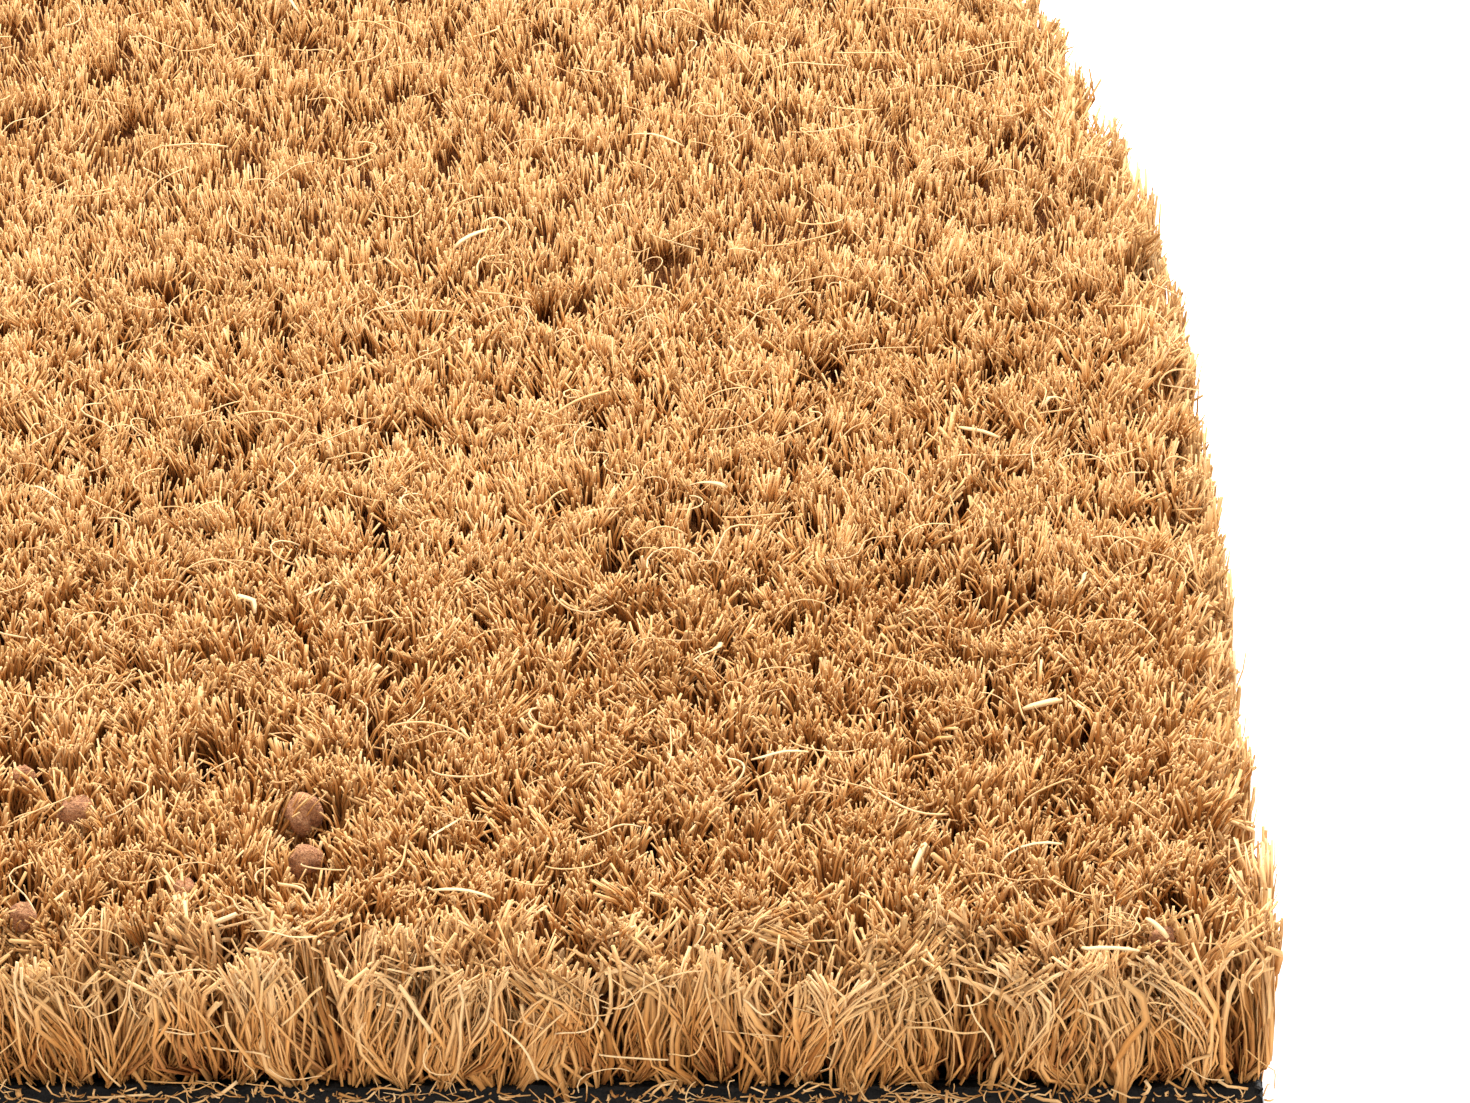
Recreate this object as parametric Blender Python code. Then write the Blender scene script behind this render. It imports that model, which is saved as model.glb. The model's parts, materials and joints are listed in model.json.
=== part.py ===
"""Half-round coir door mat: rows of coir tufts planted in a sheet of soft black vinyl.

Metres, +Z up. The origin is under the middle of the mat, on the ground. The straight front edge
is at -Y, and the half round is at +Y.
"""

import bmesh
import bpy

# Driving dimensions
MAT_WIDTH = 0.600  # the straight front edge, and twice the radius of the half round
SIDE_LENGTH = 0.100  # the straight sides, from the front edge to the half round
CORNER_RADIUS = 0.0015  # the two front corners, seen from above
BASE_THICKNESS = 0.0028  # the vinyl sheet
PILE_HEIGHT = 0.0142  # sheared tips above the sheet
PILE_INSET = 0.0005  # the pile's outline inside the sheet's
ROOT_DEPTH = 0.0016  # how deep the tufts are planted in the sheet
ROOT_INSET = 0.0020  # vinyl left outside the roots, along the outline
ROOT_RIB = 0.0012  # vinyl left standing between two bands of roots
BAND_COUNT = 40  # bands of tuft rows, from front to back
CLEARANCE = 0.0003  # between pieces that touch

# How finely the shapes are made
ROUND_SEGMENTS = 144  # segments that a full turn of the half round would have
CORNER_SEGMENTS = 4
ROOT_OVERLAP = 0.0010  # how far the roots' solid reaches into the pile's before the two are joined
WELD = 0.000001

# What follows from them
DEPTH = SIDE_LENGTH + MAT_WIDTH / 2
FRONT = -DEPTH / 2
ROUND_CENTRE = FRONT + SIDE_LENGTH
BAND_PITCH = DEPTH / BAND_COUNT
PILE_BOTTOM = BASE_THICKNESS + CLEARANCE
PILE_TOP = BASE_THICKNESS + PILE_HEIGHT
SOCKET_FLOOR = BASE_THICKNESS - ROOT_DEPTH


def clear_scene():
    for thing in list(bpy.data.objects):
        bpy.data.objects.remove(thing, do_unlink=True)


def new_collection(name):
    collection = bpy.data.collections.new(name)
    bpy.context.scene.collection.children.link(collection)
    return collection


def principled(name, colour, roughness, metallic=0.0):
    material = bpy.data.materials.new(name)
    material.use_nodes = True
    shader = material.node_tree.nodes["Principled BSDF"]
    shader.inputs["Base Color"].default_value = (*colour, 1.0)
    shader.inputs["Roughness"].default_value = roughness
    shader.inputs["Metallic"].default_value = metallic
    return material


def everything(bm):
    return bm.verts[:] + bm.edges[:] + bm.faces[:]


def outline_prism(inset, low, high):
    """The mat's outline, moved inwards by inset, as a closed prism from low to high."""
    bm = bmesh.new()
    radius = MAT_WIDTH / 2 - inset
    bmesh.ops.create_circle(bm, cap_ends=True, radius=radius, segments=ROUND_SEGMENTS)
    bmesh.ops.bisect_plane(
        bm, geom=everything(bm), dist=WELD, plane_no=(0, -1, 0), clear_outer=True
    )
    chord = [edge for edge in bm.edges if all(abs(v.co.y) < WELD for v in edge.verts)]
    extruded = bmesh.ops.extrude_edge_only(bm, edges=chord)["geom"]
    front = [item for item in extruded if isinstance(item, bmesh.types.BMVert)]
    bmesh.ops.translate(bm, verts=front, vec=(0, inset - SIDE_LENGTH, 0))
    bmesh.ops.dissolve_edges(bm, edges=chord)
    corner_radius = CORNER_RADIUS - inset
    if corner_radius > WELD:
        bmesh.ops.bevel(
            bm,
            geom=front,
            offset=corner_radius,
            offset_type="OFFSET",
            segments=CORNER_SEGMENTS,
            profile=0.5,
            affect="VERTICES",
            material=-1,
        )
    raised = bmesh.ops.extrude_face_region(bm, geom=bm.faces[:])["geom"]
    top = [item for item in raised if isinstance(item, bmesh.types.BMVert)]
    bmesh.ops.translate(bm, verts=top, vec=(0, 0, high - low))
    bmesh.ops.translate(bm, verts=bm.verts[:], vec=(0, ROUND_CENTRE, low))
    bmesh.ops.recalc_face_normals(bm, faces=bm.faces[:])
    return bm


def outline_slice(inset, front, back, low, high):
    """The stretch of the outline's prism between two planes across the mat."""
    bm = outline_prism(inset, low, high)
    for y, outwards in ((front, -1), (back, 1)):
        cut = bmesh.ops.bisect_plane(
            bm,
            geom=everything(bm),
            dist=WELD,
            plane_co=(0, y, 0),
            plane_no=(0, outwards, 0),
            clear_outer=True,
        )["geom_cut"]
        rim = [item for item in cut if isinstance(item, bmesh.types.BMEdge)]
        if rim:
            bmesh.ops.contextual_create(bm, geom=rim)
    bmesh.ops.recalc_face_normals(bm, faces=bm.faces[:])
    return bm


def add_object(name, bm, collection, material=None):
    mesh = bpy.data.meshes.new(name)
    bm.to_mesh(mesh)
    bm.free()
    if material:
        mesh.materials.append(material)
    thing = bpy.data.objects.new(name, mesh)
    collection.objects.link(thing)
    return thing


def add_cutter(name, bm, collection):
    cutter = add_object(name, bm, collection)
    cutter.hide_render = True
    cutter.display_type = "WIRE"
    return cutter


def add_boolean(thing, operation, other):
    boolean = thing.modifiers.new(f"{operation.lower()} {other.name}", "BOOLEAN")
    boolean.operation = operation
    boolean.solver = "EXACT"
    boolean.object = other


def band_edges(index):
    """Where a band starts and ends, measured to the middle of its gaps."""
    start = FRONT + index * BAND_PITCH
    return start, start + BAND_PITCH


def root_slice(index, spare):
    """A band's roots, grown by spare on each side that meets the vinyl."""
    start, end = band_edges(index)
    inside = ROOT_RIB / 2 + CLEARANCE - spare
    bottom = SOCKET_FLOOR + CLEARANCE - spare
    return outline_slice(
        ROOT_INSET - spare, start + inside, end - inside, bottom, PILE_BOTTOM + ROOT_OVERLAP
    )


def tuft_band(index, parts, cutters, material):
    """A band of tuft rows: the standing pile, and the roots that are planted in the vinyl."""
    start, end = band_edges(index)
    half_gap = CLEARANCE / 2
    pile = outline_slice(
        PILE_INSET, start + half_gap, end - half_gap, PILE_BOTTOM, PILE_TOP
    )
    band = add_object(f"tuft_rows_{index + 1:02d}", pile, parts, material)
    roots = add_cutter(f"roots_{index + 1:02d}", root_slice(index, 0.0), cutters)
    add_boolean(band, "UNION", roots)


def backing_sheet(parts, cutters, material):
    """The vinyl sheet, with a socket for each band of roots."""
    sheet = add_object(
        "backing_sheet", outline_prism(0.0, 0.0, BASE_THICKNESS), parts, material
    )
    sockets = bmesh.new()
    for index in range(BAND_COUNT):
        one = bpy.data.meshes.new("socket")
        root_slice(index, CLEARANCE).to_mesh(one)
        sockets.from_mesh(one)
        bpy.data.meshes.remove(one)
    add_boolean(sheet, "DIFFERENCE", add_cutter("sockets", sockets, cutters))


def main():
    clear_scene()
    parts = new_collection("door_mat")
    cutters = new_collection("cutters")
    vinyl = principled("vinyl", (0.012, 0.012, 0.013), roughness=0.45)
    backing_sheet(parts, cutters, vinyl)
    for index in range(BAND_COUNT):
        coir = principled(f"coir_{index + 1:02d}", (0.46, 0.27, 0.10), roughness=0.75)
        tuft_band(index, parts, cutters, coir)


main()
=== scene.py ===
# Half-round coir door mat: the looks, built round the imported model.
import json
import math

import bmesh
import bpy
import numpy as np
from mathutils import Matrix, Vector

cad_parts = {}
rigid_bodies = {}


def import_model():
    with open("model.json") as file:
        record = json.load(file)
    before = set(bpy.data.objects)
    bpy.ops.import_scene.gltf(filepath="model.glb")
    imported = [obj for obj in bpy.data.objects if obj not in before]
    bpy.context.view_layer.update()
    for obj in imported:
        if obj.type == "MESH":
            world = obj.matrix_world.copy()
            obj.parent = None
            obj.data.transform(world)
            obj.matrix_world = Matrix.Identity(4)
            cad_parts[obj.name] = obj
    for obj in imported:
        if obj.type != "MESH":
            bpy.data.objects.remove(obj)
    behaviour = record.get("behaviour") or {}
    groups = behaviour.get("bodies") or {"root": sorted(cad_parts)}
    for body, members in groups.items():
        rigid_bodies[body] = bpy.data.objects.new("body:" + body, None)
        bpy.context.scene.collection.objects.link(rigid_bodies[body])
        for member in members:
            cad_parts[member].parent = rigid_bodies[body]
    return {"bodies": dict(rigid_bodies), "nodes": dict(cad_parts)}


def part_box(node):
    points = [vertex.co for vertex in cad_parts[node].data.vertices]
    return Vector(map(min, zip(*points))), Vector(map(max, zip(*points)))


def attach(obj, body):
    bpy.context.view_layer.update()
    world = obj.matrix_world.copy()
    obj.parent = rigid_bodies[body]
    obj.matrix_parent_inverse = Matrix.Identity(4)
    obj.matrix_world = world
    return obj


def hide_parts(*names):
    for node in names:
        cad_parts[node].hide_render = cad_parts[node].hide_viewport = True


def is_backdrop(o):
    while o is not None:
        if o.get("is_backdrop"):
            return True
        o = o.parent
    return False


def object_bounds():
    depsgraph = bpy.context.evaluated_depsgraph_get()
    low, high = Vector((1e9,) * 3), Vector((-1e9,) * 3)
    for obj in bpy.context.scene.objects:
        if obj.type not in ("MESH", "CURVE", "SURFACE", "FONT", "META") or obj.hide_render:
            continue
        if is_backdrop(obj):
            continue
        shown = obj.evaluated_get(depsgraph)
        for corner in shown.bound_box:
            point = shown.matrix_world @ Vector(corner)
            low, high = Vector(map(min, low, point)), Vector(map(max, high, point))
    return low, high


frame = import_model()
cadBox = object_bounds()
matBody = next(iter(frame["bodies"]))
mm = 0.001

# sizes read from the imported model
sheetLow, sheetHigh = (np.array(corner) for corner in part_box("backing_sheet"))
rowNodes = sorted(name for name in frame["nodes"] if name.startswith("tuft_rows_"))
rowBoxes = {name: [np.array(corner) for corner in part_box(name)] for name in rowNodes}
halfWidth = float(sheetHigh[0])
frontEdge = float(sheetLow[1])
backEdge = float(sheetHigh[1])
sheetTop = float(sheetHigh[2])
pileTop = float(max(box[1][2] for box in rowBoxes.values()))
roundCentre = backEdge - halfWidth  # where the straight sides end and the half round starts
bandDepth = (backEdge - frontEdge) / len(rowNodes)


def insideOutline(x, y):
    # how far inside the outline a point is, and the way inwards from the nearest edge
    fromMiddle = np.hypot(x, y - roundCentre) + 1e-9
    rounded = y > roundCentre
    side = np.where(rounded, halfWidth - fromMiddle, halfWidth - np.abs(x))
    front = y - frontEdge
    nearFront = front < side
    inX = np.where(rounded, -x / fromMiddle, -np.sign(x))
    inY = np.where(rounded, -(y - roundCentre) / fromMiddle, 0.0)
    return (
        np.where(nearFront, front, side),
        np.where(nearFront, 0.0, inX),
        np.where(nearFront, 1.0, inY),
    )


def softNoise(x, y, cell, seed):
    # a smooth random field over the mat, about -1 to 1, with bumps about one cell apart
    size = 256  # of the lattice, which repeats
    lattice = np.random.default_rng(seed).uniform(-1, 1, (size, size))
    u, v = x / cell + 100.0, y / cell + 100.0
    i, j = np.floor(u).astype(int), np.floor(v).astype(int)
    a, b = u - i, v - j
    a, b = a * a * (3 - 2 * a), b * b * (3 - 2 * b)
    at = lambda p, q: lattice[p % size, q % size]
    first = at(i, j) * (1 - a) + at(i + 1, j) * a
    second = at(i, j + 1) * (1 - a) + at(i + 1, j + 1) * a
    return first * (1 - b) + second * b


def smoothStep(low, high, value):
    # 0 at low, 1 at high, with a soft start and end
    t = np.clip((value - low) / (high - low), 0, 1)
    return t * t * (3 - 2 * t)


# the stretch at the front right corner that is seen closest, where every hair is made at its real size
closeUp = dict(
    across=0.108,  # along the front edge
    widening=0.16,  # how much wider it gets for each metre further back
    deep=0.178,
    fade=0.055,  # how gradually it ends
)


def closeness(x, y):
    # 1 in the close stretch, falling to 0 outside it
    behind = y - frontEdge
    leftward = halfWidth - x - closeUp["across"] - closeUp["widening"] * behind
    left = 1 - smoothStep(0, closeUp["fade"], leftward)
    back = 1 - smoothStep(closeUp["deep"], closeUp["deep"] + closeUp["fade"], behind)
    return left * back


# shader helpers
class Sock:
    # a node's output, on which ordinary arithmetic adds Math nodes
    def __init__(self, tree, socket):
        self.tree, self.socket = tree, socket

    def maths(self, operation, *values):
        node = self.tree.nodes.new("ShaderNodeMath")
        node.operation = operation
        for socket, value in zip(node.inputs, values):
            plug(self.tree, socket, value)
        return Sock(self.tree, node.outputs[0])

    def __add__(self, other):
        return self.maths("ADD", self, other)

    def __radd__(self, other):
        return self.maths("ADD", other, self)

    def __sub__(self, other):
        return self.maths("SUBTRACT", self, other)

    def __rsub__(self, other):
        return self.maths("SUBTRACT", other, self)

    def __mul__(self, other):
        return self.maths("MULTIPLY", self, other)

    def __rmul__(self, other):
        return self.maths("MULTIPLY", other, self)

    def __gt__(self, other):
        return self.maths("GREATER_THAN", self, other)


def plug(tree, socket, value):
    if isinstance(value, Sock):
        tree.links.new(value.socket, socket)
    else:
        socket.default_value = value


class Finish:
    # a material with one Principled shader, built node by node
    def __init__(self, name, **fixed):
        self.material = bpy.data.materials.new(name)
        self.material.use_nodes = True
        self.tree = self.material.node_tree
        self.shader = self.tree.nodes["Principled BSDF"]
        for socket, value in fixed.items():
            self.shader.inputs[socket.replace("_", " ")].default_value = value

    def add(self, kind, settings=None, output=0, **inputs):
        # inputs go by name, or by number, as in _6
        node = self.tree.nodes.new(kind)
        for key, value in (settings or {}).items():
            if key == "stops":
                self.setStops(node.color_ramp, value)
            else:
                setattr(node, key, value)
        for key, value in inputs.items():
            socket = node.inputs[int(key[1:])] if key[1:].isdigit() else node.inputs[key]
            plug(self.tree, socket, value)
        return Sock(self.tree, node.outputs[output])

    def setStops(self, ramp, stops):
        while len(ramp.elements) < len(stops):
            ramp.elements.new(0.5)
        for element, (position, colour) in zip(ramp.elements, stops):
            element.position = position
            element.color = (*colour, 1.0)

    def ramp(self, factor, stops):
        return self.add("ShaderNodeValToRGB", dict(stops=stops), Fac=factor)

    def mix(self, factor, first, second, blend="MIX"):
        settings = dict(data_type="RGBA", blend_type=blend)
        return self.add("ShaderNodeMix", settings, output=2, _0=factor, _6=first, _7=second)

    def noise(self, vector, scale, detail=2.0, roughness=0.5):
        return self.add(
            "ShaderNodeTexNoise", Vector=vector, Scale=scale, Detail=detail, Roughness=roughness
        )

    def feed(self, socket, value):
        plug(self.tree, self.shader.inputs[socket], value)

    def bump(self, height, distance, strength=1.0):
        self.feed("Normal", self.add("ShaderNodeBump", Height=height, Distance=distance, Strength=strength))


# coir hair takes its colour from its own map: U is the hair's tone, dark to blond, and V runs from the root
# to the tip, where the sheared end has the last stretch to itself. Along V the foot is painted darker and
# redder, as painted shade for the depths of the pile
hairEnd = 0.96  # where along V the sides end
capMiddle = 0.985  # and where the sheared end is
coirColour = dict(
    tones=[
        (0.00, (0.240, 0.102, 0.028)),
        (0.25, (0.440, 0.232, 0.078)),
        (0.50, (0.600, 0.360, 0.154)),
        (0.75, (0.680, 0.435, 0.205)),
        (1.00, (0.730, 0.520, 0.285)),
    ],
    streaks=[(0.3, (0.55, 0.45, 0.38)), (0.7, (1.35, 1.3, 1.2))],
    streakShare=0.30,
    # painted shade: each hair darkens towards its foot, down to dark red brown, for the shade deep in the
    # pile
    paintedShades=[(0.0, (0.22, 0.055, 0.010)), (0.6, (0.84, 0.64, 0.42)), (0.93, (1.0, 1.0, 1.0))],
    cutEnd=(0.72, 0.43, 0.17),
    cutEndShare=0.35,
)


def coirFinish():
    finish = Finish("coir hair", Specular_IOR_Level=0.08)
    place = finish.add("ShaderNodeUVMap", dict(uv_map="OFBake"))
    across = finish.add("ShaderNodeSeparateXYZ", Vector=place)
    along = Sock(finish.tree, across.socket.node.outputs[1])
    tone = finish.ramp(across, coirColour["tones"])
    stretched = finish.add("ShaderNodeMapping", Vector=place, Scale=(260.0, 7.0, 1.0))
    streak = finish.noise(stretched, 1.0, 3.0, 0.6)
    streakTone = finish.ramp(streak, coirColour["streaks"])
    tone = finish.mix(coirColour["streakShare"], tone, streakTone, "MULTIPLY")
    # painted shade, multiplied in along V
    tone = finish.mix(1.0, tone, finish.ramp(along, coirColour["paintedShades"]), "MULTIPLY")
    isCut = along > hairEnd + 0.005
    tone = finish.mix(isCut * coirColour["cutEndShare"], tone, (*coirColour["cutEnd"], 1.0))
    finish.feed("Base Color", tone)
    finish.feed("Roughness", 0.5 + 0.25 * streak)
    finish.bump(streak, 0.00006, 0.6)
    return finish.material


# one hair, and fields of them
def masterHair(sides, segments, pointedRoot):
    # a closed hair of unit radius and unit length: a ring of sides, extruded upwards
    bm = bmesh.new()
    bmesh.ops.create_circle(bm, cap_ends=True, radius=1.0, segments=sides)
    tip = bm.faces[:]
    for step in range(segments):
        grown = bmesh.ops.extrude_face_region(bm, geom=tip)["geom"]
        if step:
            bmesh.ops.delete(bm, geom=tip, context="FACES_ONLY")
        tip = [item for item in grown if isinstance(item, bmesh.types.BMFace)]
        bmesh.ops.translate(bm, verts=tip[0].verts[:], vec=(0, 0, 1 / segments))
    if pointedRoot:
        foot = [v for v in bm.verts if v.co.z < 1e-6]
        bmesh.ops.pointmerge(bm, verts=foot, merge_co=(0, 0, 0))
    bmesh.ops.recalc_face_normals(bm, faces=bm.faces[:])
    bm.verts.index_update()
    if not all(edge.is_manifold for edge in bm.edges):
        raise ValueError("a hair isn't closed")
    spots = np.array([v.co[:] for v in bm.verts])
    faces = [[v.index for v in f.verts] for f in bm.faces]
    caps = np.array([all(abs(v.co.z - 1) < 1e-6 for v in f.verts) for f in bm.faces])
    bm.free()
    return dict(spots=spots, faces=faces, caps=caps, segments=segments)


def sweepHairs(master, hairs):
    # bends one master hair along each path; gives the points, the faces and the map
    spots, segments = master["spots"], master["segments"]
    paths, radii, tones = hairs["paths"], hairs["radii"], hairs["tones"]
    ring = np.rint(spots[:, 2] * segments).astype(int)
    ahead = np.gradient(paths, axis=1)
    ahead /= np.linalg.norm(ahead, axis=2, keepdims=True) + 1e-12
    facing = np.broadcast_to(hairs["facing"][:, None], ahead.shape)
    side = np.cross(ahead, facing)
    side /= np.linalg.norm(side, axis=2, keepdims=True) + 1e-12
    over = np.cross(side, ahead)
    wide = radii[:, ring] * spots[:, 0]
    thick = radii[:, ring] * spots[:, 1] * hairs["flatness"][:, None]
    points = paths[:, ring] + side[:, ring] * wide[..., None] + over[:, ring] * thick[..., None]
    count, each = len(paths), len(spots)
    corners = np.concatenate([np.array(face) for face in master["faces"]])
    sizes = np.array([len(face) for face in master["faces"]])
    loops = (corners[None] + each * np.arange(count)[:, None]).ravel()
    capLoop = np.repeat(master["caps"], sizes)
    turn = np.arctan2(spots[:, 1], spots[:, 0])[corners]
    u = (tones[:, None] + 0.0035 * turn[None] / math.pi).clip(0.004, 0.996)
    # painted shade: the foot of a hair that is shaded fully has V 0, the darkest, and else it is lit more
    # like the tip
    lit = 1 - (1 - spots[corners, 2]) * np.reshape(hairs["shaded"], (-1, 1))
    v = np.where(capLoop, capMiddle + 0.01 * np.cos(turn), hairEnd * lit)
    return dict(
        points=points.reshape(-1, 3),
        loops=loops,
        sizes=np.tile(sizes, count),
        uv=np.stack([u, np.broadcast_to(v, u.shape)], -1).reshape(-1, 2),
        smooth=np.tile(~master["caps"], count),
    )


def addPiece(name, mesh):
    piece = bpy.data.objects.new(name, mesh)
    bpy.context.scene.collection.objects.link(piece)
    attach(piece, matBody)
    return piece


def joinHairs(name, parts, material):
    # one piece from several sets of swept hairs
    points = np.concatenate([part["points"] for part in parts])
    starts = np.cumsum([0] + [len(part["points"]) for part in parts[:-1]])
    loops = np.concatenate([part["loops"] + start for part, start in zip(parts, starts)])
    sizes = np.concatenate([part["sizes"] for part in parts])
    uv = np.concatenate([part["uv"] for part in parts])
    mesh = bpy.data.meshes.new(name)
    mesh.vertices.add(len(points))
    mesh.vertices.foreach_set("co", points.astype(np.float32).ravel())
    mesh.loops.add(len(loops))
    mesh.loops.foreach_set("vertex_index", loops.astype(np.int32))
    mesh.polygons.add(len(sizes))
    mesh.polygons.foreach_set("loop_start", (np.cumsum(sizes) - sizes).astype(np.int32))
    mesh.polygons.foreach_set("use_smooth", np.concatenate([part["smooth"] for part in parts]))
    mesh.uv_layers.new(name="OFBake")
    mesh.update(calc_edges=True)
    mesh.uv_layers["OFBake"].uv.foreach_set("vector", uv.astype(np.float32).ravel())
    mesh.materials.append(material)
    return addPiece(name, mesh)


def triangleCount(part):
    return int((part["sizes"] - 2).sum())


# the pile: tufts of yarn, sheared level
pile = dict(
    rowsPerBand=3,
    tuftSpacing=3.3 * mm,
    jitter=0.45 * mm,
    leastDepth=0.9 * mm,  # no tuft stands closer to the outline: it is moved in, or left out
    leftOut=0.2 * mm,  # when it would be closer than this
    yarnRadius=1.15 * mm,  # at the sheet
    opening=0.8,  # how much a tuft opens towards its top
    locks=6,  # bundles of hairs in a tuft that lean together
    leanSpread=0.09,  # tan of a tuft's lean
    leanDrift=0.05,  # and of its lean together with its neighbours
    driftCell=9 * mm,  # about how far apart such drifts are
    rimLean=1.2,  # how much more the tufts of the rim lean, as a share
    lockSplay=1.05 * mm,  # at the top
    hairSplay=0.62 * mm,
    splayStart=0.3,  # the share of the height where the splay starts
    splayCurve=3.2,
    hairJitter=0.25 * mm,
    tuftHeight=0.20 * mm,
    heightDrift=0.2 * mm,
    heightCell=16 * mm,
    lockHeight=0.50 * mm,
    proud=0.45 * mm,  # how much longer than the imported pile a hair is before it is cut
    shoulder=2.3 * mm,  # the outermost hairs end this much lower
    shoulderWidth=6.5 * mm,
    shortBy=0.42 * mm,
    shoulderShortBy=0.9 * mm,
    tornShare=0.05,  # hairs that are torn short
    tornBy=(0.3, 2.5),  # millimetres
    rimWidth=4.2 * mm,
    frontWidth=6.6 * mm,
    overhang=0.35 * mm,
    rimStep=0.85 * mm,  # how unevenly the tufts end at the outline
    hairStep=0.35 * mm,  # and the hairs in a tuft
    lockWave=1.15 * mm,
    tipCurl=0.48 * mm,
    tipStart=0.78,  # the share of the height where the tip starts
    taperAt=[0.0, 0.5, 0.9, 1.0],
    taper=[0.9, 1.0, 0.95, 0.72],
    toneSpread=0.12,
    toneCell=25 * mm,
    dark=(0.02, 0.15),  # the share of hairs that are dark, and their tone
    blond=(0.025, 0.92),
    closeHairs=4.25,  # hairs to a square millimetre, seen close
    farHairs=0.76,  # and far, where each stands for several
    frontMore=1.1,  # of the close hairs, near the front
    thinBy=0.36,  # and how many fewer further back
    thinFrom=50 * mm,
    thinTo=170 * mm,
    rimMore=0.35,  # how many more stand in the outermost tufts, as a share
    outermost=2.2 * mm,
    hairRadius=0.143 * mm,
    radiusSpread=0.30,
    farThicker=1.15,
    tallest=18.3 * mm,
    closestDeep=60 * mm,  # how far back the hairs have the most segments
    middleDeep=115 * mm,
    mostTriangles=185000,  # in a piece
    mostTogether=2500,  # hairs that are kept in one piece
)
# small tufts between the others along the front and right edges, where gaps would show
filling = dict(
    alongFront=130 * mm,
    backFrom=3 * mm,
    backTo=190 * mm,
    spacing=1.9 * mm,
    frontInset=1.5 * mm,
    sideInset=1.6 * mm,
    jitter=0.3 * mm,
    fewer=0.86,  # the share of a tuft's hairs that they go without
)
# how a hair is made, in the rim and inside the pile
rimHair = dict(
    start=0.0,  # the share of its height that a hair is made from
    wave=0.68 * mm,
    lockWave=1,
    shaded=0.36,  # how deep the painted shade at its foot goes
    behind=0.64,  # and how much more painted shade the hairs rooted behind the outermost ones get
    sink=1.7 * mm,  # how far below the sheet's top its root can start
    spread=0.72,  # how wide the tuft is at its root
    bunch=1.15,  # how its points crowd towards the top
    thicker=1.22,
    footWidth=0.9,
    blonder=0.04,
    alike=0.08,  # how much the hairs of a tuft share their tone
)
innerHair = dict(
    wave=0.12 * mm,
    lockWave=0,
    shaded=1.0,
    behind=0.0,
    sink=0.0,
    spread=0.9,
    bunch=1.7,
    thicker=1,
    footWidth=0.35,
    blonder=0,
    alike=0.05,
)


def plantTufts(rng, pitch):
    # where the tufts stand, the row of each, and which of them are the small ones
    rows = []
    for row in range(len(rowNodes) * pile["rowsPerBand"]):
        y = frontEdge + (row + 0.5) * pitch
        x = np.arange(-halfWidth, halfWidth, pile["tuftSpacing"])
        x = x + pile["tuftSpacing"] * (0.25 + 0.5 * (row % 2))  # every other row is shifted
        x = x + rng.normal(0, pile["jitter"], len(x))
        rows.append(np.stack([x, y + rng.normal(0, pile["jitter"], len(x)), np.full(len(x), row)], 1))
    front, side = filling["frontInset"], filling["sideInset"]
    across = np.arange(halfWidth - filling["alongFront"], halfWidth - front, filling["spacing"])
    deep = np.arange(frontEdge + filling["backFrom"], frontEdge + filling["backTo"], filling["spacing"])
    edgeX = np.sqrt(halfWidth**2 - np.maximum(deep - roundCentre, 0) ** 2)
    fillX = np.concatenate([across, edgeX - side])
    fillY = np.concatenate([np.full(len(across), frontEdge + front), deep])
    fillX, fillY = (fill + rng.normal(0, filling["jitter"], len(fill)) for fill in (fillX, fillY))
    small = np.repeat([False, True], [sum(map(len, rows)), len(fillX)])
    rows.append(np.stack([fillX, fillY, np.floor((fillY - frontEdge) / pitch)], 1))
    x, y, row = np.concatenate(rows).T
    depth, inX, inY = insideOutline(x, y)
    keep = depth > pile["leftOut"]
    short = np.maximum(pile["leastDepth"] - depth, 0)
    return (x + inX * short)[keep], (y + inY * short)[keep], row[keep], small[keep]


def hairDensity(near, depth, back):
    # hairs to a square millimetre, fewer of them far away and more in the outermost tufts
    share = pile["frontMore"] - pile["thinBy"] * smoothStep(pile["thinFrom"], pile["thinTo"], back)
    density = pile["farHairs"] + (pile["closeHairs"] * share - pile["farHairs"]) * near
    return density * (1 + pile["rimMore"] * (depth < pile["outermost"]))


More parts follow.
